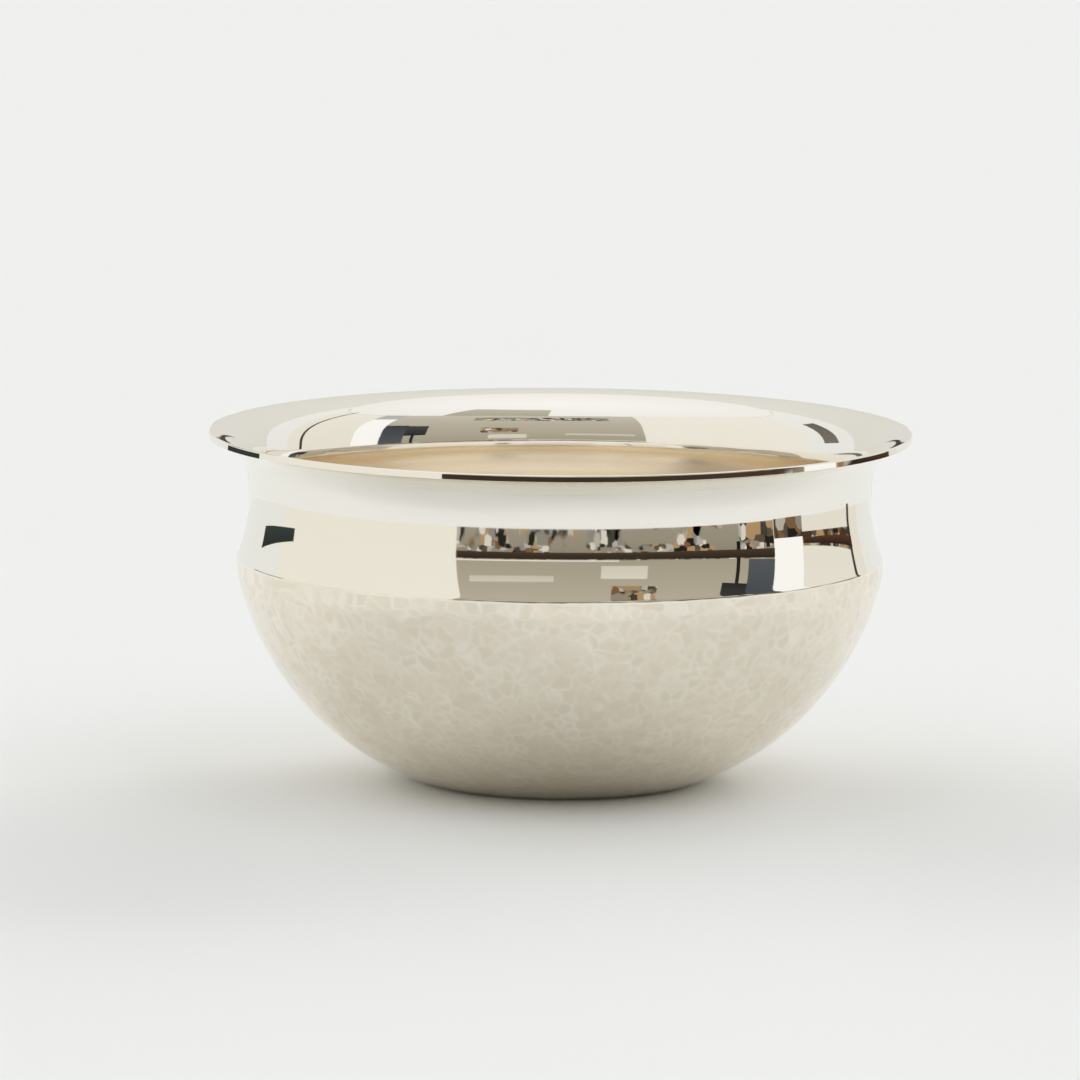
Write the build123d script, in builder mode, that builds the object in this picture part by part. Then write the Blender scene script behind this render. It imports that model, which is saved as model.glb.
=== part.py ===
from build123d import *
import os
from math import cos, radians, sin

# Offering bowl in silver: a hammered round-bottomed body, a polished waisted neck and a flared mouth.
# Millimetres. Origin at the centre of the flat place it stands on, +Z up through the mouth.

# Driving dimensions of the outside
rim_diameter = 120.0  # over the lip
body_height = 38.4  # standing face up to the shoulder line
neck_height = 21.6  # shoulder line up to the top of the lip
base_diameter = 46.8  # where the side would meet the standing face if its edge were sharp
lip_overhang = 6.9  # how far the lip stands out past the throat
shoulder_step = 2.1  # how far the shoulder line stands out past the throat
throat_band = 2.5  # upright stretch between the two curves of the neck
flare_angle = 78.0  # degrees that the flare turns, from upright at the throat to the lip
belly_band = 1.9  # upright stretch of the body under the shoulder line
belly_radius = 14.0  # roll of the body under that band
belly_turn = 14.0  # degrees that the roll turns before the long curve of the side
base_softening = 6.0  # rounding between the side and the standing face

# Metal and joints
sheet = 1.2  # thickness of the silver in the body, the neck and the lip
wire_width = 1.0  # rim wire, from its flat back to its face
wire_corner = 0.3  # eased corners of the wire's face
lap_depth = 1.2  # height of the lap joint at the shoulder
solder_gap = 0.15  # room left for the solder in both joints

# Circles and levels that the pieces share
rim_radius = rim_diameter / 2
throat_radius = rim_radius - lip_overhang
shoulder_radius = throat_radius + shoulder_step
lap_radius = shoulder_radius - sheet / 2
tongue_radius = lap_radius - solder_gap
lap_level = body_height - lap_depth
level_cut = 3 * sheet  # cuts that square off the sheet at the joint are wider than the sheet
bowl_height = body_height + neck_height
base_edge = (base_diameter / 2, 0)

# Middle of the lip's face, set so that the eased corners just reach the rim radius and the full height
lean = radians(flare_angle)
half_face = sheet / 2 - wire_corner
lip_radius = rim_radius - wire_corner + wire_corner * sin(lean) - half_face * cos(lean)
lip_level = bowl_height - wire_corner + wire_corner * cos(lean) - half_face * sin(lean)
lip_plane = Plane(
    origin=(lip_radius, 0, lip_level),
    x_dir=(sin(lean), 0, cos(lean)),
    z_dir=(0, -1, 0),
)

# Under edge of the collar at the wire, and the flare that leads up to it
collar_reach = wire_width + solder_gap
edge_radius = lip_radius - collar_reach * sin(lean) + sheet / 2 * cos(lean)
edge_level = lip_level - collar_reach * cos(lean) - sheet / 2 * sin(lean)
flare_radius = (edge_radius - throat_radius) / (1 - cos(lean))
flare_level = edge_level - flare_radius * sin(lean)
flare_centre = (throat_radius + flare_radius, flare_level)
throat_level = flare_level - throat_band

# Roll of the body, centred level with the foot of its upright band
belly_level = body_height - belly_band
belly_centre = (shoulder_radius - belly_radius, belly_level)

os.makedirs("parts", exist_ok=True)

# Hammered bowl: the raised body, with a rebate inside its upper edge that receives the collar
with BuildPart() as hammered_bowl:
    with BuildSketch(Plane.XZ) as body_section:
        with BuildLine():
            Line((shoulder_radius, body_height), (shoulder_radius, belly_level))
            roll = CenterArc(belly_centre, belly_radius, 0, -belly_turn)
            side = TangentArc(roll @ 1, base_edge, tangent=roll % 1)
            Line(side @ 1, (0, 0))
            offset(amount=sheet, side=Side.RIGHT)
        make_face()
        under_corner, inner_corner = body_section.vertices().sort_by_distance(base_edge)[:2]
        fillet(under_corner, base_softening)
        fillet(inner_corner, base_softening - sheet)
        with Locations((lap_radius, body_height)):
            Rectangle(level_cut, lap_depth, align=(Align.MAX, Align.MAX), mode=Mode.SUBTRACT)
    revolve(axis=Axis.Z)
hammered_bowl.part.label = "hammered_bowl"

# Neck collar: waisted and flared, with a tongue at its foot that drops into the body's rebate
with BuildPart() as neck_collar:
    with BuildSketch(Plane.XZ):
        with BuildLine():
            flare = CenterArc(flare_centre, flare_radius, 180 - flare_angle, flare_angle)
            throat = Line(flare @ 1, (throat_radius, throat_level))
            TangentArc(throat @ 1, (shoulder_radius, body_height), tangent=throat % 1)
            offset(amount=sheet, side=Side.RIGHT)
        make_face()
        with Locations((tongue_radius, body_height)):
            Rectangle(level_cut, level_cut, align=(Align.MIN, Align.MAX), mode=Mode.SUBTRACT)
            Rectangle(sheet / 2 - solder_gap, lap_depth, align=(Align.MAX, Align.MAX))
    revolve(axis=Axis.Z)
neck_collar.part.label = "neck_collar"

# Rim wire: a flat-backed ring with an eased face, which makes the thick lip
with BuildPart() as rim_wire:
    with BuildSketch(lip_plane) as wire_section:
        Rectangle(wire_width, sheet, align=(Align.MAX, Align.CENTER))
        fillet(wire_section.vertices().group_by(Axis.X)[-1], wire_corner)
    revolve(axis=Axis.Z)
rim_wire.part.label = "rim_wire"

# Shoulder solder: fills the upright gap of the lap joint
with BuildPart() as shoulder_solder:
    with BuildSketch(Plane.XZ):
        with Locations((lap_radius, lap_level)):
            Rectangle(solder_gap, lap_depth, align=(Align.MAX, Align.MIN))
    revolve(axis=Axis.Z)
shoulder_solder.part.label = "shoulder_solder"

# Rim solder: fills the gap between the collar's edge and the back of the wire
with BuildPart() as rim_solder:
    with BuildSketch(lip_plane):
        with Locations((-wire_width, 0)):
            Rectangle(solder_gap, sheet, align=(Align.MAX, Align.CENTER))
    revolve(axis=Axis.Z)
rim_solder.part.label = "rim_solder"

for piece in (hammered_bowl, neck_collar, rim_wire, shoulder_solder, rim_solder):
    export_step(piece.part, f"parts/{piece.part.label}.step")
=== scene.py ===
import math

import bmesh
import bpy
import numpy as np
from mathutils import Matrix, Vector, noise
from mathutils.kdtree import KDTree


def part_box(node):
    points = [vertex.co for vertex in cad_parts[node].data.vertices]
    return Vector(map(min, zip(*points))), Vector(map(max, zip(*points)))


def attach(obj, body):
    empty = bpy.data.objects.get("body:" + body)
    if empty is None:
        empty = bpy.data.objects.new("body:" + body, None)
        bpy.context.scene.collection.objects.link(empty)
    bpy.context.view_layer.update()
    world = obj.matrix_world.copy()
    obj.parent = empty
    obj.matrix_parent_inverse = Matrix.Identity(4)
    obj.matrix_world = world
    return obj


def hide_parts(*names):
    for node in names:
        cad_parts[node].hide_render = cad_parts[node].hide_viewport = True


# Silver offering bowl on a white table: planished body, mirror-polished neck, thick lip.
# Metres, in the frame of the solids: the standing face is at z = 0 and the mouth opens upwards.

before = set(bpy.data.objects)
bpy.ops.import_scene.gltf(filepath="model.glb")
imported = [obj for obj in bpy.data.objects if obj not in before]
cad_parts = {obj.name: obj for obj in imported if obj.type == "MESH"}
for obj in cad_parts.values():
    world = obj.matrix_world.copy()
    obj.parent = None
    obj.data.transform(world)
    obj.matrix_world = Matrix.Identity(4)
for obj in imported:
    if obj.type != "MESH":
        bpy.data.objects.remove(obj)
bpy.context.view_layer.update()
scene = bpy.context.scene
scene.view_settings.view_transform = "Standard"
scene.cycles.glossy_bounces = 12  # a silver hollow mirrors itself many times over

MM = 0.001

# Sizes of the bowl that the solids give
RIM_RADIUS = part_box("rim_wire")[1].x
BOWL_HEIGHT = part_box("rim_wire")[1].z
BODY_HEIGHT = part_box("hammered_bowl")[1].z
LAP_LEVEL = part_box("neck_collar")[0].z

# Sizes that their boxes don't show
BASE_RADIUS = 23.4 * MM
LIP_OVERHANG = 6.9 * MM
SHOULDER_STEP = 2.1 * MM
THROAT_BAND = 2.5 * MM
FLARE_ANGLE = 78.0
BELLY_BAND = 1.9 * MM
BELLY_RADIUS = 14.0 * MM
BELLY_TURN = 14.0
BAND_LEAN = 4.0  # degrees that planishing draws the band under the shoulder inwards
SHEET = 1.2 * MM
WIRE_WIDTH = 1.0 * MM
WIRE_CORNER = 0.3 * MM
SOLDER_GAP = 0.15 * MM
FACE_TILT = 5.0  # degrees that the lip's face looks up, after it is dressed with a file
FACE_EDGE = 0.06 * MM  # crisp lower edge of that face

# Softness of the corners that are worked over after soldering
SHOULDER_EASE = 0.18 * MM
THROAT_EASE = 1.0 * MM
INNER_THROAT_EASE = 2.2 * MM
INNER_EASE = 0.6 * MM
BASE_EASE = 1.1 * MM
EASE_REACH = 4.0  # softnesses to each side of a corner that its easing takes in
EASE_FADE = 2.5  # softnesses over which the easing dies away towards there

# Mesh density
FINE_STEP = 0.02 * MM  # points along the cross-section before rings are picked from them
POLISHED_GAP = 0.8 * MM
POLISHED_TURN = 1.8  # degrees between neighbouring rings of a mirror surface
LIP_GAP = 0.05 * MM  # closer, so that the lip's flat face is mirrored flat up to its edges
SATIN_GAP = 1.2 * MM
SATIN_TURN = 3.0  # degrees between neighbouring rings of the satin inside
HAMMERED_GAP = 0.36 * MM
HAMMERED_TURN = 3.0
POLISHED_SEGMENTS = 432
HAMMERED_SEGMENTS = 936
MERGE = 0.001 * MM  # points nearer to each other than this become one, at the poles
SHARP = 50.0  # only the hidden faces of the joints meet at more than this


# The cross-section of the bowl, as (radius, level) points

def way(angle):
    """Unit step at an angle in degrees, up from straight outwards."""
    turn = math.radians(angle)
    return np.array((math.cos(turn), math.sin(turn)))


def arc(centre, radius, start, stop):
    """Fine points along an arc; angles are in degrees, up from straight outwards."""
    length = abs(math.radians(stop - start)) * radius
    count = max(round(length / FINE_STEP), math.ceil(abs(stop - start) / POLISHED_TURN))
    turn = np.radians(np.linspace(start, stop, count + 1))
    return np.column_stack((centre[0] + radius * np.cos(turn), centre[1] + radius * np.sin(turn)))


def line(start, stop):
    """Fine points along a straight stretch."""
    start, stop = np.array(start), np.array(stop)
    count = max(2, round(np.linalg.norm(stop - start) / FINE_STEP) + 1)
    return np.linspace(start, stop, count)


def joined(*stretches):
    """One run of points from stretches that meet end to end."""
    return np.vstack([stretches[0]] + [stretch[1:] for stretch in stretches[1:]])


def eased_step(value, start, stop):
    """0 before start, 1 after stop, smooth between them."""
    share = np.clip((value - start) / (stop - start), 0.0, 1.0)
    return share * share * (3 - 2 * share)


def eased(points, corner, softness):
    """The run with the corner nearest to a place worn round, by averaging along it there."""
    reach = round(EASE_REACH * softness / FINE_STEP)
    offset = np.arange(-reach, reach + 1) * FINE_STEP / softness
    weights = np.exp(-0.5 * offset ** 2)
    weights /= weights.sum()
    middle = int(np.argmin(np.linalg.norm(points - corner, axis=1)))
    near = points[middle - 2 * reach:middle + 2 * reach + 1]
    averaged = np.column_stack([np.convolve(near[:, axis], weights, "valid") for axis in range(2)])
    share = eased_step(EASE_REACH - np.abs(offset), 0.0, EASE_FADE)[:, None]
    softened = points.copy()
    softened[middle - reach:middle + reach + 1] += share * (averaged - near[reach:-reach])
    return softened


def thinned(points, gap, turn):
    """The rings that are kept of a fine run: a gap apart at most, and a turn in degrees at most."""
    step = np.diff(points, axis=0)
    heading = np.unwrap(np.arctan2(step[:, 1], step[:, 0]))
    bend = np.degrees(np.abs(np.diff(heading, prepend=heading[0])))
    need = np.concatenate(([0.0], np.cumsum(np.linalg.norm(step, axis=1) / gap + bend / turn)))
    wanted = np.linspace(0.0, need[-1], math.ceil(need[-1]) + 1)
    keep = np.unique(np.clip(np.searchsorted(need, wanted), 0, len(points) - 1))
    return points[keep]


throat_radius = RIM_RADIUS - LIP_OVERHANG
shoulder_radius = throat_radius + SHOULDER_STEP
lap_radius = shoulder_radius - SHEET / 2
tongue_radius = lap_radius - SOLDER_GAP

# Lip: outwards points straight out of its face, across runs up the face
lean = math.radians(FLARE_ANGLE)
outwards = np.array((math.sin(lean), math.cos(lean)))
across = np.array((-math.cos(lean), math.sin(lean)))
half_face = SHEET / 2 - WIRE_CORNER
upper_corner = np.array((
    RIM_RADIUS - WIRE_CORNER - 2 * half_face * math.cos(lean),
    BOWL_HEIGHT - WIRE_CORNER,
))
lip_middle = upper_corner - half_face * across + WIRE_CORNER * outwards
wire_back = lip_middle - WIRE_WIDTH * outwards
collar_edge = wire_back - SOLDER_GAP * outwards
half_sheet = SHEET / 2 * across

# The lip's face as it is dressed: its lower corner reaches the rim radius, its upper one the full height
face_way = way(FACE_TILT)
face_up = np.array((-face_way[1], face_way[0]))
lower_corner = lip_middle - half_sheet + FACE_EDGE * across
lower_corner += (RIM_RADIUS - FACE_EDGE - lower_corner[0]) / outwards[0] * outwards
face_gap = lower_corner - upper_corner + (FACE_EDGE - WIRE_CORNER) * face_way
upper_corner += face_gap @ face_way * face_way
upper_corner += (BOWL_HEIGHT - WIRE_CORNER - upper_corner[1]) / face_up[1] * face_up

# Neck: the flare down to the throat, the upright band, and the waist that runs out to the shoulder
edge_radius, edge_level = collar_edge - half_sheet
flare_radius = (edge_radius - throat_radius) / (1 - math.cos(lean))
flare_level = edge_level - flare_radius * math.sin(lean)
flare_centre = (throat_radius + flare_radius, flare_level)
waist_level = flare_level - THROAT_BAND
waist_drop = waist_level - BODY_HEIGHT
waist_radius = (waist_drop ** 2 + SHOULDER_STEP ** 2) / (2 * SHOULDER_STEP)
waist_centre = (throat_radius + waist_radius, waist_level)
waist_turn = math.degrees(math.asin(waist_drop / waist_radius))
flare_start = 180 - FLARE_ANGLE

# Body: a nearly upright band, the roll under it, and the long curve of the side, without a kink
band_way = way(-BAND_LEAN)
band_down = np.array((band_way[1], -band_way[0]))
band_foot = np.array((shoulder_radius, BODY_HEIGHT)) + BELLY_BAND * band_down
belly_centre = band_foot - BELLY_RADIUS * band_way
belly_way = way(-BELLY_TURN)
belly_end = belly_centre + BELLY_RADIUS * belly_way
to_base = np.array((BASE_RADIUS, 0.0)) - belly_end
side_radius = -(to_base @ to_base) / (2 * to_base @ belly_way)
side_centre = belly_end - side_radius * belly_way
side_end = math.degrees(math.asin(-side_centre[1] / side_radius))
inner_side_end = math.degrees(math.asin((SHEET - side_centre[1]) / (side_radius - SHEET)))

inner_side = arc(side_centre, side_radius - SHEET, inner_side_end, -BELLY_TURN)
inner_roll = arc(belly_centre, BELLY_RADIUS - SHEET, -BELLY_TURN, 0)
inner_band = line(inner_roll[-1], (shoulder_radius - SHEET, LAP_LEVEL))
inner_waist = arc(waist_centre, waist_radius + SHEET, 180 + waist_turn, 180)
inner_flare = arc(flare_centre, flare_radius + SHEET, 180, flare_start)
outer_flare = arc(flare_centre, flare_radius, flare_start, 180)
outer_waist = arc(waist_centre, waist_radius, 180, 180 + waist_turn)
outer_band = line((shoulder_radius, BODY_HEIGHT), band_foot)
outer_roll = arc(belly_centre, BELLY_RADIUS, -BAND_LEAN, -BELLY_TURN)
outer_side = arc(side_centre, side_radius, -BELLY_TURN, side_end)

skins = {
    "body inside": joined(line((0.0, SHEET), inner_side[0]), inner_side, inner_roll, inner_band),
    "collar inside": joined(line(inner_band[-1], inner_waist[0]), inner_waist,
                            line(inner_waist[-1], inner_flare[0]), inner_flare),
    "solder above": line(collar_edge + half_sheet, wire_back + half_sheet),
    "wire": joined(line(wire_back + half_sheet, upper_corner + WIRE_CORNER * across),
                   arc(upper_corner, WIRE_CORNER, flare_start, FACE_TILT),
                   line(upper_corner + WIRE_CORNER * face_way, lower_corner + FACE_EDGE * face_way),
                   arc(lower_corner, FACE_EDGE, FACE_TILT, flare_start - 180),
                   line(lower_corner - FACE_EDGE * across, wire_back - half_sheet)),
    "solder below": line(wire_back - half_sheet, collar_edge - half_sheet),
    "collar outside": joined(outer_flare, line(outer_flare[-1], outer_waist[0]), outer_waist),
    "body outside": joined(outer_band, outer_roll, outer_side, line(outer_side[-1], (0.0, 0.0))),
}

# The whole section is eased in one run, so that neighbouring pieces still meet flush
section = joined(*skins.values())
section = eased(section, inner_side[0], BASE_EASE)
section = eased(section, inner_waist[0], INNER_EASE)
section = eased(section, (inner_waist[-1] + inner_flare[0]) / 2, INNER_THROAT_EASE)
section = eased(section, (outer_waist[0] + outer_flare[-1]) / 2, THROAT_EASE)
section = eased(section, outer_band[0], SHOULDER_EASE)
section = eased(section, outer_side[-1], BASE_EASE)
first = 0
for skin_name, skin in skins.items():
    skins[skin_name] = section[first:first + len(skin)]
    first += len(skin) - 1


# Pieces turned from the section

def turned(rings, segments):
    """Points of a section carried round the axis, as rings by segments by three."""
    angle = np.linspace(0.0, 2 * math.pi, segments, endpoint=False)
    radius, level = rings[:, 0, None], rings[:, 1, None]
    return np.stack((radius * np.cos(angle), radius * np.sin(angle),
                     np.broadcast_to(level, (len(rings), segments))), axis=-1)


def skinned(name, points, closed):
    """A smooth piece over rings of points; a closed one joins its last ring to its first."""
    rings, segments = points.shape[:2]
    number = np.arange(rings * segments).reshape(rings, segments)
    here = number if closed else number[:-1]
    beyond = np.roll(number, -1, axis=0) if closed else number[1:]
    faces = np.stack((here, np.roll(here, -1, axis=1), np.roll(beyond, -1, axis=1), beyond), axis=-1)
    mesh = bpy.data.meshes.new(name)
    mesh.from_pydata(points.reshape(-1, 3).tolist(), [], faces.reshape(-1, 4).tolist())
    piece = bpy.data.objects.new(name, mesh)
    scene.collection.objects.link(piece)
    return piece


def settled(piece, *nodes, slot):
    """Closes the poles, turns every face outwards, and puts the piece in the place of its solids."""
    work = bmesh.new()
    work.from_mesh(piece.data)
    bmesh.ops.remove_doubles(work, verts=work.verts, dist=MERGE)
    bmesh.ops.recalc_face_normals(work, faces=work.faces)
    work.to_mesh(piece.data)
    work.free()
    piece.data.shade_smooth()
    piece.data.set_sharp_from_angle(angle=math.radians(SHARP))
    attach(piece, "root")
    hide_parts(*nodes)
    return piece


def polished_ring(name, rings, node, slot):
    """A round piece above the shoulder, closed across the joints that its skins leave open."""
    return settled(skinned(name, turned(rings, POLISHED_SEGMENTS), closed=True), node, slot=slot)


def kept(skin_name, gap=POLISHED_GAP):
    """The rings of one skin of a polished piece."""
    return thinned(skins[skin_name], gap, POLISHED_TURN)


collar_joint = np.array(((tongue_radius, BODY_HEIGHT), (tongue_radius, LAP_LEVEL)))
neck_inside = kept("collar inside")
neck = polished_ring(
    "polished_neck", np.vstack((neck_inside, kept("collar outside"), collar_joint)),
    "neck_collar", "polished_silver",
)
side_of_face = np.zeros(len(neck.data.polygons), dtype=np.int32)
side_of_face[:len(neck_inside) * POLISHED_SEGMENTS] = 1
neck.data.polygons.foreach_set("material_index", side_of_face)
lip = polished_ring("lip_wire", kept("wire", LIP_GAP), "rim_wire", "polished_silver")
lip_seam = polished_ring(
    "lip_seam", np.vstack((kept("solder above"), kept("solder below"))),
    "rim_solder", "silver_solder",
)

# Planished body: every hammer blow flattens a small facet, and neighbouring facets meet in soft ridges

BLOW_SPACING = 2.25 * MM
BLOW_SCATTER = 0.38  # share of the spacing that a blow lands out of line
BLOW_TILT = 0.5  # degrees that the hammer face leans
BLOW_DEPTH = 0.003 * MM  # how much deeper some blows go
FLATTEST, DEEPEST = 0.9, 1.9  # dishing of the facets: 1 is flat, more is hollow
RIDGE_SOFTNESS = 0.009 * MM
RIDGE_REACH = 0.0165 * MM  # height over the next facet at which a point no longer counts as ridge
WAVER = 0.8 * MM  # how far the ridges waver out of line
WAVER_SIZE = 3.2 * MM
NEAR_BLOWS = 8
SMOOTH_TOP = -0.6 * MM  # blows along the shoulder are light, and full a little below it
FADE_TOP = 3.0 * MM
TONE_TOP = 0.5 * MM  # the edge of the shoulder above this is all ridge, with the ridges' gloss and their painted highlight
SMOOTH_FOOT = 0.15 * MM  # the standing face is smooth, and the side above it fully worked
FADE_FOOT = 1.6 * MM
MIDDLE_TONE = 0.5  # tone of metal without facets, between the dark ones and the pale ones
chance = np.random.default_rng(20)


def hammer_blows(run):
    """Place, facing, depth, dishing and tone of each blow round the body, in wavering rows."""
    along = np.concatenate(([0.0], np.cumsum(np.linalg.norm(np.diff(run, axis=0), axis=1))))
    slope = np.gradient(run, along, axis=0)
    places, facings = [], []
    for row in np.arange(BLOW_SPACING / 4, along[-1], BLOW_SPACING * math.sqrt(3) / 2):
        radius = np.interp(row, along, run[:, 0])
        count = max(1, round(2 * math.pi * radius / BLOW_SPACING))
        scatter = chance.uniform(-BLOW_SCATTER, BLOW_SCATTER, (2, count))
        angle = 2 * math.pi * (np.arange(count) + chance.uniform() + scatter[0]) / count
        spot = np.clip(row + scatter[1] * BLOW_SPACING, 0.0, along[-1])
        radius = np.interp(spot, along, run[:, 0])
        level = np.interp(spot, along, run[:, 1])
        inward = np.interp(spot, along, slope[:, 0])
        upward = np.interp(spot, along, slope[:, 1])
        ahead = np.stack((np.cos(angle), np.sin(angle)), axis=-1)
        places.append(np.column_stack((radius[:, None] * ahead, level)))
        facings.append(np.column_stack((-upward[:, None] * ahead, inward)))
    places, facings = np.vstack(places), np.vstack(facings)
    facings += chance.normal(0.0, math.radians(BLOW_TILT), facings.shape)
    facings /= np.linalg.norm(facings, axis=1)[:, None]
    depths = chance.normal(0.0, BLOW_DEPTH, len(places))
    dishings = chance.uniform(FLATTEST, DEEPEST, len(places))
    return places, facings, depths, dishings, chance.uniform(size=len(places))


def wavering(points, facing):
    """The points shifted a little along the surface, so that their facets meet in curved ridges."""
    shift = WAVER * np.array([noise.noise_vector(point) for point in points / WAVER_SIZE])
    return points + shift - np.einsum("pk,pk->p", shift, facing)[:, None] * facing


def planished(points, facing, run):
    """Height of the facets over the points, how much each lies on a ridge, and its facet's tone."""
    places, facings, depths, dishings, tones = hammer_blows(run)
    tree = KDTree(len(places))
    for number, place in enumerate(places):
        tree.insert(place, number)
    tree.balance()
    flat = wavering(points.reshape(-1, 3), facing.reshape(-1, 3))
    near = np.array([[found[1] for found in tree.find_n(point, NEAR_BLOWS)] for point in flat])
    gap = places[near] - flat[:, None, :]
    height = dishings[near] * np.einsum("pnk,pnk->pn", gap, facings[near]) + depths[near]
    order = np.sort(height, axis=1)
    least = order[:, :1]
    soft = least[:, 0] - RIDGE_SOFTNESS * np.log(np.exp((least - height) / RIDGE_SOFTNESS).sum(axis=1))
    ridge = np.exp(-(order[:, 1] - order[:, 0]) / RIDGE_REACH)
    tone = tones[near[np.arange(len(near)), np.argmin(height, axis=1)]]
    return soft.reshape(points.shape[:2]), ridge, tone


inside_rings = thinned(skins["body inside"], SATIN_GAP, SATIN_TURN)
outside_rings = thinned(skins["body outside"], HAMMERED_GAP, HAMMERED_TURN)
body_joint = np.array(((lap_radius, LAP_LEVEL), (lap_radius, BODY_HEIGHT)))
body_points = turned(np.vstack((inside_rings, body_joint, outside_rings)), HAMMERED_SEGMENTS)
outside_points = body_points[len(inside_rings) + len(body_joint):]

outside_step = np.gradient(outside_rings, axis=0)
outside_step /= np.linalg.norm(outside_step, axis=1)[:, None]
round_angle = np.linspace(0.0, 2 * math.pi, HAMMERED_SEGMENTS, endpoint=False)
outside_facing = np.stack((
    -outside_step[:, 1, None] * np.cos(round_angle),
    -outside_step[:, 1, None] * np.sin(round_angle),
    np.broadcast_to(outside_step[:, 0, None], (len(outside_rings), HAMMERED_SEGMENTS)),
), axis=-1)
height, ridge, tone = planished(outside_points, outside_facing, skins["body outside"])
below_top = np.cumsum(np.linalg.norm(np.diff(outside_rings, axis=0, prepend=outside_rings[:1]), axis=1))
worked = eased_step(below_top, SMOOTH_TOP, FADE_TOP)
worked *= eased_step(outside_rings[:, 1], SMOOTH_FOOT, FADE_FOOT)
height -= height.mean()
outside_points += outside_facing * (height * worked[:, None])[:, :, None]
outside_points[:, :, 2] = np.maximum(outside_points[:, :, 2], 0.0)
body = skinned("planished_body", body_points, closed=False)

plain_count = (len(inside_rings) + len(body_joint)) * HAMMERED_SEGMENTS
full_work = np.repeat(eased_step(below_top, TONE_TOP / 2, TONE_TOP), HAMMERED_SEGMENTS)
traits = {
    "ridge": 1 + (ridge - 1) * full_work,
    "facet_tone": MIDDLE_TONE + (tone - MIDDLE_TONE) * full_work,
}
for trait, values in traits.items():
    layer = body.data.attributes.new(trait, "FLOAT", "POINT")
    layer.data.foreach_set("value", np.concatenate((np.full(plain_count, MIDDLE_TONE), values)))
inside_faces = len(inside_rings) * HAMMERED_SEGMENTS
side_of_face = np.zeros(len(body.data.polygons), dtype=np.int32)
side_of_face[:inside_faces] = 1
body.data.polygons.foreach_set("material_index", side_of_face)
settled(body, "hammered_bowl", slot="hammered_silver")


# Finishes

def colour(code):
    """Linear colour of an sRGB hex value."""
    linear = []
    for place in (1, 3, 5):
        part = int(code[place:place + 2], 16) / 255
        linear.append(part / 12.92 if part <= 0.04045 else ((part + 0.055) / 1.055) ** 2.4)
    return linear + [1.0]


def add_node(tree, kind, inputs=None, **settings):
    """A node with its settings; an input takes a value or the output that feeds it."""
    made = tree.nodes.new(kind)
    for name, value in settings.items():
        setattr(made, name, value)
    for name, value in (inputs or {}).items():
        if isinstance(value, bpy.types.NodeSocket):
            tree.links.new(value, made.inputs[name])
        else:
            made.inputs[name].default_value = value
    return made


def blank_material(name):
    """A new material without nodes, and its node tree."""
    material = bpy.data.materials.new(name)
    material.use_nodes = True
    material.node_tree.nodes.clear()
    return material, material.node_tree


MIX_SHARE, MIX_FIRST, MIX_SECOND, MIX_RESULT = 0, 6, 7, 2  # sockets of a colour mix
HAZE_SIZE = 30 * MM
SMUDGE_SIZE = 14 * MM
SMUDGE_START, SMUDGE_FULL = 0.35, 0.75
POLISH_LINE = 0.35 * MM  # drawn coarser than rouge leaves them, so that they show
POLISH_LENGTH = 25 * MM
BUFF_EDGE = 53 * MM  # level inside the neck where the mirror begins to fade
BUFF_DEPTH = 44 * MM  # level where it has gone over to satin
RING_WIDTH = 1.8 * MM  # soft rings that the satin wheel leaves inside
RING_START, RING_FULL = 0.3, 0.7
RING_SLANT = 1.5  # how much the height counts beside the radius, so that the rings go on up the wall
MIRROR_SHEEN = (0.02, 0.05)  # roughness where the polish is clean, and where it is smudged
SEAM_SHEEN = (0.03, 0.07)
SATIN_SHEEN = (0.2, 0.34)
MIRROR_SCRATCH = 0.0006 * MM  # depth of the hairlines
SEAM_SCRATCH = 0.001 * MM
INSIDE_SCRATCH = 0.002 * MM
SCRATCH_STRENGTH = 0.5


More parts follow.
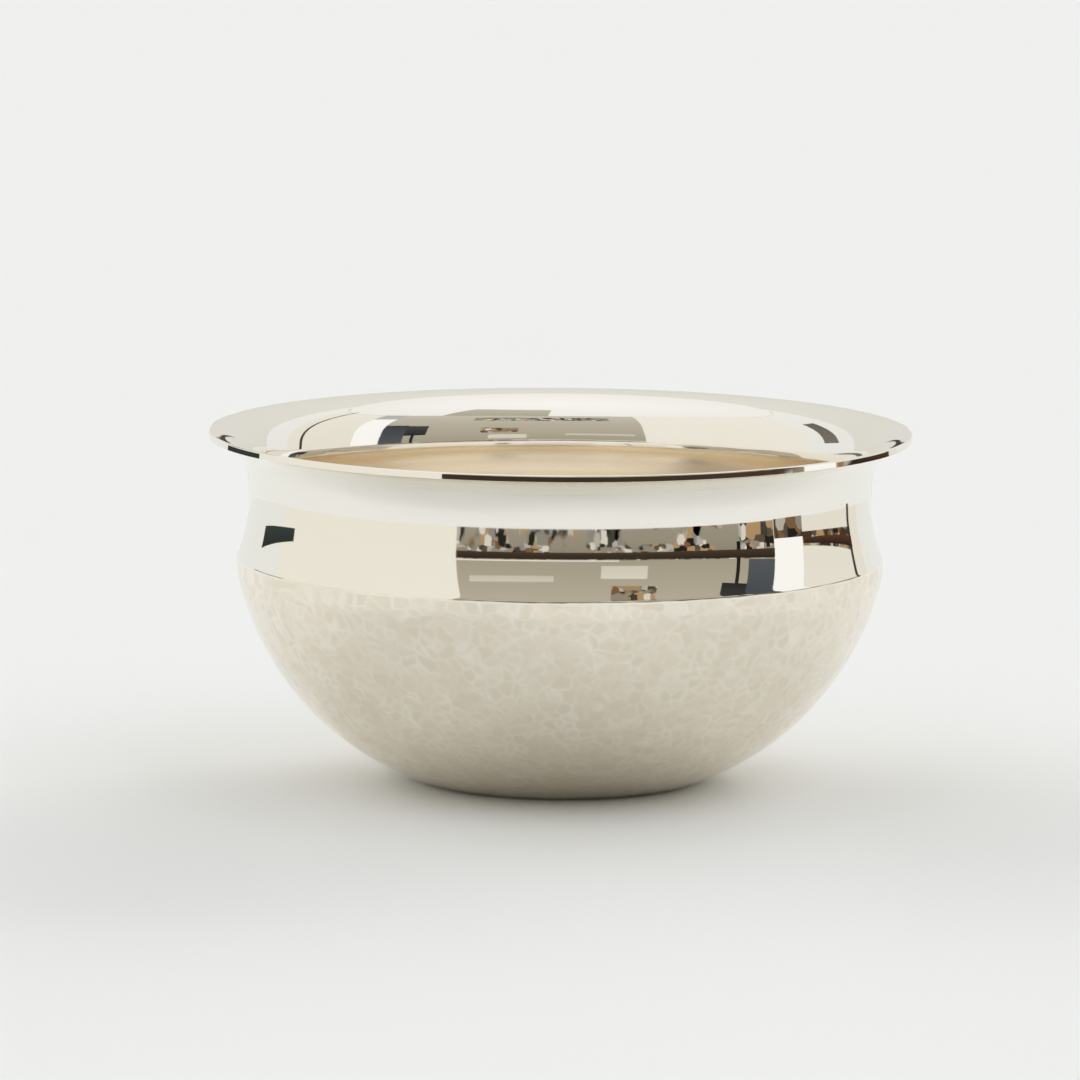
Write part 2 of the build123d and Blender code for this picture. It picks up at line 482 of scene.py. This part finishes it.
def polished_silver(name, bright, dull, sheen, scratch, deep=None):
    """Silver buffed with rouge: a mirror with faint haze, and hairlines that run round the bowl.

    Where deep tones are given, the mirror goes over to satin down inside the bowl, where the buff
    doesn't reach, and the satin runs in soft rings of those tones."""
    material, tree = blank_material(name)
    place = add_node(tree, "ShaderNodeTexCoord").outputs["Object"]
    haze = add_node(tree, "ShaderNodeTexNoise", {
        "Vector": place, "Scale": 1 / HAZE_SIZE, "Detail": 4.0,
    })
    smudge = add_node(tree, "ShaderNodeTexNoise", {
        "Vector": place, "Scale": 1 / SMUDGE_SIZE, "Detail": 6.0,
    })
    tint = add_node(tree, "ShaderNodeMix", {
        MIX_SHARE: haze.outputs["Fac"], MIX_FIRST: colour(bright), MIX_SECOND: colour(dull),
    }, data_type="RGBA").outputs[MIX_RESULT]
    gloss = add_node(tree, "ShaderNodeMapRange", {
        "Value": smudge.outputs["Fac"], "From Min": SMUDGE_START, "From Max": SMUDGE_FULL,
        "To Min": sheen[0], "To Max": sheen[1],
    }).outputs["Result"]
    if deep:
        height_up = add_node(tree, "ShaderNodeSeparateXYZ", {"Vector": place}).outputs["Z"]
        depth = add_node(tree, "ShaderNodeMapRange", {
            "Value": height_up, "From Min": BUFF_EDGE, "From Max": BUFF_DEPTH,
        }, interpolation_type="SMOOTHSTEP").outputs["Result"]
        away = add_node(tree, "ShaderNodeVectorMath", {
            0: place, 1: (1.0, 1.0, RING_SLANT),
        }, operation="MULTIPLY").outputs["Vector"]
        reach = add_node(tree, "ShaderNodeVectorMath", {0: away}, operation="LENGTH").outputs["Value"]
        ring = add_node(tree, "ShaderNodeTexNoise", {
            "W": reach, "Scale": 1 / RING_WIDTH, "Detail": 4.0,
        }, noise_dimensions="1D").outputs["Fac"]
        satin_tint = add_node(tree, "ShaderNodeMix", {
            MIX_SHARE: ring, MIX_FIRST: colour(deep[0]), MIX_SECOND: colour(deep[1]),
        }, data_type="RGBA").outputs[MIX_RESULT]
        satin_gloss = add_node(tree, "ShaderNodeMapRange", {
            "Value": ring, "From Min": RING_START, "From Max": RING_FULL,
            "To Min": SATIN_SHEEN[0], "To Max": SATIN_SHEEN[1],
        }).outputs["Result"]
        tint = add_node(tree, "ShaderNodeMix", {
            MIX_SHARE: depth, MIX_FIRST: tint, MIX_SECOND: satin_tint,
        }, data_type="RGBA").outputs[MIX_RESULT]
        gloss = add_node(tree, "ShaderNodeMapRange", {
            "Value": depth, "To Min": gloss, "To Max": satin_gloss,
        }).outputs["Result"]
    stretch = add_node(tree, "ShaderNodeMapping", {
        "Vector": place, "Scale": (1 / POLISH_LENGTH, 1 / POLISH_LENGTH, 1 / POLISH_LINE),
    })
    hairline = add_node(tree, "ShaderNodeTexNoise", {
        "Vector": stretch.outputs["Vector"], "Scale": 1.0, "Detail": 3.0,
    })
    relief = add_node(tree, "ShaderNodeBump", {
        "Height": hairline.outputs["Fac"], "Strength": SCRATCH_STRENGTH, "Distance": scratch,
    })
    shader = add_node(tree, "ShaderNodeBsdfPrincipled", {
        "Base Color": tint, "Metallic": 1.0, "Roughness": gloss, "Normal": relief.outputs["Normal"],
    })
    add_node(tree, "ShaderNodeOutputMaterial", {"Surface": shader.outputs["BSDF"]})
    return material


TARNISH_SIZE = 18 * MM
RIDGE_HIGHLIGHT_VARY_SIZE = 4 * MM
RIDGE_HIGHLIGHT_VARY_START, RIDGE_HIGHLIGHT_VARY_FULL = 0.35, 0.65
LEAST_RIDGE_HIGHLIGHT, MOST_RIDGE_HIGHLIGHT = 0.2, 0.95  # how far the painted highlight brightens the ridges, from place to place
RIDGE_START = 0.1
RIDGE_SHEEN, FACET_SHEEN = 0.1, 0.2  # roughness
GRAIN_SIZE = 0.5 * MM
GRAIN_DEPTH = 0.004 * MM
GRAIN_STRENGTH = 0.4


def planished_silver(name):
    """Silver left from a polished planishing hammer: soft facets of differing tone, and a painted
    highlight that brightens the ridges.
    """
    material, tree = blank_material(name)
    place = add_node(tree, "ShaderNodeTexCoord").outputs["Object"]
    ridge_line = add_node(tree, "ShaderNodeAttribute", attribute_name="ridge").outputs["Fac"]
    facet = add_node(tree, "ShaderNodeAttribute", attribute_name="facet_tone").outputs["Fac"]
    tarnish = add_node(tree, "ShaderNodeTexNoise", {
        "Vector": place, "Scale": 1 / TARNISH_SIZE, "Detail": 5.0,
    })
    grain = add_node(tree, "ShaderNodeTexNoise", {
        "Vector": place, "Scale": 1 / GRAIN_SIZE, "Detail": 3.0,
    })
    facet_tint = add_node(tree, "ShaderNodeMix", {
        MIX_SHARE: facet, MIX_FIRST: colour("#E9E1D0"), MIX_SECOND: colour("#F5F0E3"),
    }, data_type="RGBA")
    warm_tint = add_node(tree, "ShaderNodeMix", {
        MIX_SHARE: tarnish.outputs["Fac"], MIX_FIRST: facet_tint.outputs[MIX_RESULT],
        MIX_SECOND: colour("#F0E5D3"),
    }, data_type="RGBA")
    # Painted highlight: the ridges' colour is mixed towards a pale tone, more in some places than others
    ridge_highlight_vary = add_node(tree, "ShaderNodeTexNoise", {
        "Vector": place, "Scale": 1 / RIDGE_HIGHLIGHT_VARY_SIZE, "Detail": 3.0,
    })
    highest_ridge_highlight = add_node(tree, "ShaderNodeMapRange", {
        "Value": ridge_highlight_vary.outputs["Fac"], "From Min": RIDGE_HIGHLIGHT_VARY_START, "From Max": RIDGE_HIGHLIGHT_VARY_FULL,
        "To Min": LEAST_RIDGE_HIGHLIGHT, "To Max": MOST_RIDGE_HIGHLIGHT,
    })
    ridge_highlight = add_node(tree, "ShaderNodeMapRange", {
        "Value": ridge_line, "From Min": RIDGE_START, "To Max": highest_ridge_highlight.outputs["Result"],
    })
    tint = add_node(tree, "ShaderNodeMix", {
        MIX_SHARE: ridge_highlight.outputs["Result"], MIX_FIRST: warm_tint.outputs[MIX_RESULT],
        MIX_SECOND: colour("#FBF7EC"),
    }, data_type="RGBA")
    gloss = add_node(tree, "ShaderNodeMapRange", {
        "Value": ridge_line, "To Min": FACET_SHEEN, "To Max": RIDGE_SHEEN,
    })
    relief = add_node(tree, "ShaderNodeBump", {
        "Height": grain.outputs["Fac"], "Strength": GRAIN_STRENGTH, "Distance": GRAIN_DEPTH,
    })
    shader = add_node(tree, "ShaderNodeBsdfPrincipled", {
        "Base Color": tint.outputs[MIX_RESULT], "Metallic": 1.0,
        "Roughness": gloss.outputs["Result"], "Normal": relief.outputs["Normal"],
    })
    add_node(tree, "ShaderNodeOutputMaterial", {"Surface": shader.outputs["BSDF"]})
    return material


mirror_silver = polished_silver(
    "mirror_polished_silver", "#FAF7F0", "#F5F2E9", MIRROR_SHEEN, MIRROR_SCRATCH,
)
inside_silver = polished_silver(
    "satin_inside_silver", "#FAF8F2", "#F6F3EB", MIRROR_SHEEN, INSIDE_SCRATCH, ("#FAF2E4", "#F4E7D3"),
)
seam_silver = polished_silver(
    "flush_silver_solder", "#F7F3E8", "#F1EBDD", SEAM_SHEEN, SEAM_SCRATCH,
)
facet_silver = planished_silver("planished_silver")

neck.data.materials.append(mirror_silver)
neck.data.materials.append(inside_silver)
lip.data.materials.append(mirror_silver)
lip_seam.data.materials.append(seam_silver)
body.data.materials.append(facet_silver)
body.data.materials.append(inside_silver)
shoulder_joint = bpy.data.objects["shoulder_solder"]
shoulder_joint.data.materials.clear()
shoulder_joint.data.materials.append(seam_silver)

# Stage: a white table, a pale surround, and soft reflectors that only the silver sees

FLOOR_FRONT, FLOOR_BACK, FLOOR_SIDE = -3.0, 5.0, 4.0
CARD_DISTANCE = 0.385  # from the axis of the bowl
CARD_GAP = 0.01  # between a card and one that stands in front of it
NEARER = CARD_DISTANCE - CARD_GAP
NEAREST = NEARER - CARD_GAP
CARD_TOP = 0.5
CARD_FOLDS = 24
PATCH_SIZE = (0.013, 0.03, 0.022)
GROUP_SIZE = 0.045  # patches come in groups of about this width
GROUP_EDGE, GROUP_FULL = 0.44, 0.5
PATCH_TONES = ("#26231F", "#5A5044", "#B5B2A9", "#8D8A82", "#7A5D40", "#D9D5CC", "#45403A", "#B0926A")


def stage_sheet(name, points, faces, material):
    """A thin sheet of the stage, which isn't part of the bowl."""
    mesh = bpy.data.meshes.new(name)
    mesh.from_pydata(points, [], faces)
    mesh.materials.append(material)
    piece = bpy.data.objects.new(name, mesh)
    scene.collection.objects.link(piece)
    return piece


table_white, table_tree = blank_material("matt_white_table")
table_shader = add_node(table_tree, "ShaderNodeBsdfPrincipled", {
    "Base Color": colour("#EDEEEC"), "Roughness": 0.8, "Specular IOR Level": 0.0,
})
add_node(table_tree, "ShaderNodeOutputMaterial", {"Surface": table_shader.outputs["BSDF"]})
stage_sheet("white_table", [
    (-FLOOR_SIDE, FLOOR_FRONT, 0.0), (FLOOR_SIDE, FLOOR_FRONT, 0.0),
    (FLOOR_SIDE, FLOOR_BACK, 0.0), (-FLOOR_SIDE, FLOOR_BACK, 0.0),
], [(0, 1, 2, 3)], table_white)


def reflector(name, start, stop, low, high, low_tone, high_tone,
              distance=CARD_DISTANCE, top_distance=None, patchy=False):
    """A curved card round the bowl, between bearings in degrees from the camera's side.

    Its tone runs from foot to top, and groups of small patches break up a patchy one."""
    material, tree = blank_material(name + "_card")
    where = add_node(tree, "ShaderNodeTexCoord")
    level = add_node(tree, "ShaderNodeSeparateXYZ", {"Vector": where.outputs["Generated"]}).outputs["Z"]
    tone = add_node(tree, "ShaderNodeMix", {
        MIX_SHARE: level, MIX_FIRST: colour(low_tone), MIX_SECOND: colour(high_tone),
    }, data_type="RGBA").outputs[MIX_RESULT]
    if patchy:
        patch_place = add_node(tree, "ShaderNodeMapping", {
            "Vector": where.outputs["Object"], "Scale": [1 / size for size in PATCH_SIZE],
        })
        patch = add_node(tree, "ShaderNodeTexVoronoi", {
            "Vector": patch_place.outputs["Vector"], "Scale": 1.0,
        }, distance="CHEBYCHEV")
        pick = add_node(tree, "ShaderNodeSeparateColor", {"Color": patch.outputs["Color"]})
        ramp = add_node(tree, "ShaderNodeValToRGB", {"Fac": pick.outputs["Red"]})
        ramp.color_ramp.interpolation = "CONSTANT"
        for number, shade in enumerate(PATCH_TONES):
            ramp.color_ramp.elements.new(number / len(PATCH_TONES)).color = colour(shade)
        group = add_node(tree, "ShaderNodeTexNoise", {
            "Vector": where.outputs["Object"], "Scale": 1 / GROUP_SIZE, "Detail": 1.0,
        })
        full = add_node(tree, "ShaderNodeMapRange", {
            "Value": group.outputs["Fac"], "From Min": GROUP_EDGE, "From Max": GROUP_FULL,
        })
        tone = add_node(tree, "ShaderNodeMix", {
            MIX_SHARE: full.outputs["Result"], MIX_FIRST: tone, MIX_SECOND: ramp.outputs["Color"],
        }, data_type="RGBA").outputs[MIX_RESULT]
    glow = add_node(tree, "ShaderNodeEmission", {"Color": tone, "Strength": 1.0})
    add_node(tree, "ShaderNodeOutputMaterial", {"Surface": glow.outputs["Emission"]})
    bearings = np.radians(np.linspace(start, stop, CARD_FOLDS + 1))
    points = [(reach * math.sin(bearing), -reach * math.cos(bearing), height)
              for reach, height in ((distance, low), (top_distance or distance, high))
              for bearing in bearings]
    faces = [(n, n + 1, n + CARD_FOLDS + 2, n + CARD_FOLDS + 1) for n in range(CARD_FOLDS)]
    card = stage_sheet(name, points, faces, material)
    card.visible_camera = False
    card.visible_diffuse = False
    card.visible_shadow = False


# Bearings where one stretch of cards ends and the next begins
LEFT_START = -115.5
FRONT_START = -35.3
FRONT_END = 79.5
LIGHT_END = 93.7
RIGHT_FOOT_END = 125.9
RIGHT_END = 134
BACK_END = 360 + LEFT_START
BACK_FOOT_START, BACK_FOOT_END = 166, 194
FOOT_TOP = 0.09  # level where the patchy foot of the front gives way to the plain card

# Each card from bearing to bearing, from level to level, and from tone to tone
reflector("front_foot", FRONT_START, FRONT_END, 0.0, FOOT_TOP, "#9C9586", "#8A8375", patchy=True)
reflector("front_card", FRONT_START, FRONT_END, FOOT_TOP, CARD_TOP, "#A8A190", "#CBC5B8")
reflector("front_slope", 6, 60, CARD_TOP - CARD_GAP, 0.53, "#B1AB9C", "#C3BCAE", NEARER, 0.2)
reflector("front_upper_band", -22, 40, 0.36, 0.43, "#98958D", "#8D8A82", NEARER, patchy=True)
reflector("front_dark_band", FRONT_START, FRONT_END, 0.06, 0.086, "#4A3A2C", "#2C2925", NEARER)
reflector("front_pale_line", FRONT_START, 20, 0.089, 0.094, "#E8E6E0", "#E8E6E0", NEARER)
reflector("front_pale_strip", -31, -2, 0.15, 0.175, "#CAC4B6", "#D2CCC0", NEARER)
reflector("front_pale_patch", 14, 30, 0.11, 0.16, "#D3CEC1", "#DDD8CD", NEARER)
reflector("front_warm_patch", 18, 34, 0.19, 0.25, "#A98A5F", "#8D8A82", NEARER, patchy=True)
reflector("front_dark_patch", 58, 68, 0.17, 0.27, "#2C2C2E", "#4A4A4A", NEARER)
reflector("front_dark_line", 63, 64.5, 0.03, 0.27, "#1D1B1A", "#2C2C2E", NEARER)
reflector("front_grey_patch", 68, FRONT_END, FOOT_TOP, 0.28, "#565B60", "#3F444A", NEARER)
reflector("left_card", LEFT_START, FRONT_START, 0.0, CARD_TOP, "#EFECE2", "#F3F0E8")
reflector("left_dark_patch", -130, -107, 0.025, 0.055, "#3A403D", "#2F3533", NEARER)
reflector("left_grey_patch", -139, -128, 0.15, 0.34, "#77726A", "#6B675E", NEARER)
reflector("right_low_foot", FRONT_END, LIGHT_END, 0.0, 0.03, "#4A3A2C", "#3A3128", NEARER, patchy=True)
reflector("right_foot", LIGHT_END, RIGHT_FOOT_END, 0.018, 0.056, "#4A3A2C", "#3A3128", NEARER,
          patchy=True)
reflector("right_dark_band", LIGHT_END, RIGHT_FOOT_END, 0.034, 0.05, "#5A3A28", "#2C2520", NEAREST)
reflector("right_light", FRONT_END, LIGHT_END, 0.0, 0.4, "#FFFFFF", "#FFFFFF")
reflector("right_card", LIGHT_END, RIGHT_END, 0.0, CARD_TOP, "#E8E4DA", "#F1EDE4")
reflector("right_dark_line", 123.8, 125.6, 0.0, CARD_TOP, "#3A3632", "#55504A", NEAREST)
reflector("back_card", RIGHT_END, BACK_END, 0.0, CARD_TOP, "#EBECEA", "#F2F2F0")
reflector("back_foot", BACK_FOOT_START, BACK_FOOT_END, 0.0, 0.06, "#B5B2A9", "#A5A29A", NEARER,
          patchy=True)
reflector("back_dark_band", BACK_FOOT_START, BACK_FOOT_END, 0.06, 0.08, "#5A5044", "#45403A", NEARER)
reflector("back_grey_card", 152, 208, 0.08, CARD_TOP, "#DFDDD7", "#E6E5E0", NEARER)
reflector("overhead_card", 0, 360, CARD_TOP, 0.6, "#F4F4F2", "#FFFFFF", top_distance=MM)

# Light for the table: an even surround, and soft lamps on both sides, strongest low behind the bowl
SURROUND_LIGHT = 0.49
LAMP_SPREAD = 50.0  # degrees across each lamp, seen from the table
surround = bpy.data.worlds.new("pale_surround")
scene.world = surround
surround.use_nodes = True
sky = surround.node_tree
sky.nodes.clear()
sky_light = add_node(sky, "ShaderNodeBackground", {
    "Color": colour("#FFFFFF"), "Strength": SURROUND_LIGHT,
})
add_node(sky, "ShaderNodeOutputWorld", {"Surface": sky_light.outputs["Background"]})


def soft_lamp(name, bearing, rise, energy):
    """A wide far lamp that the silver doesn't mirror, at a bearing and a rise in degrees."""
    lamp = bpy.data.lights.new(name, "SUN")
    lamp.energy = energy
    lamp.angle = math.radians(LAMP_SPREAD)
    hung = bpy.data.objects.new(name, lamp)
    hung.rotation_euler = (math.radians(90 - rise), 0.0, math.radians(bearing))
    hung.visible_glossy = False
    scene.collection.objects.link(hung)


for place, bearing, rise, left_energy, right_energy in (
    ("back", 150, 12, 1.0, 2.1),
    ("side", 120, 25, 0.7, 0.4),
    ("high", 60, 50, 0.25, 0.42),
):
    soft_lamp(place + "_left_lamp", -bearing, rise, left_energy)
    soft_lamp(place + "_right_lamp", bearing, rise, right_energy)

# Camera: a long lens across the table, turned slightly off the bowl and a touch out of level

CAMERA_DISTANCE = 1.3536
CAMERA_HEIGHT = 0.2308
CAMERA_PITCH = 0.13932
CAMERA_YAW = -0.0025
CAMERA_ROLL = 0.00686
CAMERA_LENS = 266.67
SENSOR_WIDTH = 36.0

ahead = Vector((
    math.sin(CAMERA_YAW) * math.cos(CAMERA_PITCH),
    math.cos(CAMERA_YAW) * math.cos(CAMERA_PITCH),
    -math.sin(CAMERA_PITCH),
))
level_right = ahead.cross(Vector((0.0, 0.0, 1.0))).normalized()
level_up = level_right.cross(ahead)
right = math.cos(CAMERA_ROLL) * level_right + math.sin(CAMERA_ROLL) * level_up
up = right.cross(ahead)
lens = bpy.data.cameras.new("table_camera")
lens.sensor_width = SENSOR_WIDTH
lens.lens = CAMERA_LENS
camera = bpy.data.objects.new("table_camera", lens)
turn = Matrix((right, up, -ahead)).transposed().to_4x4()
camera.matrix_world = Matrix.Translation((0.0, -CAMERA_DISTANCE, CAMERA_HEIGHT)) @ turn
scene.collection.objects.link(camera)
scene.camera = camera
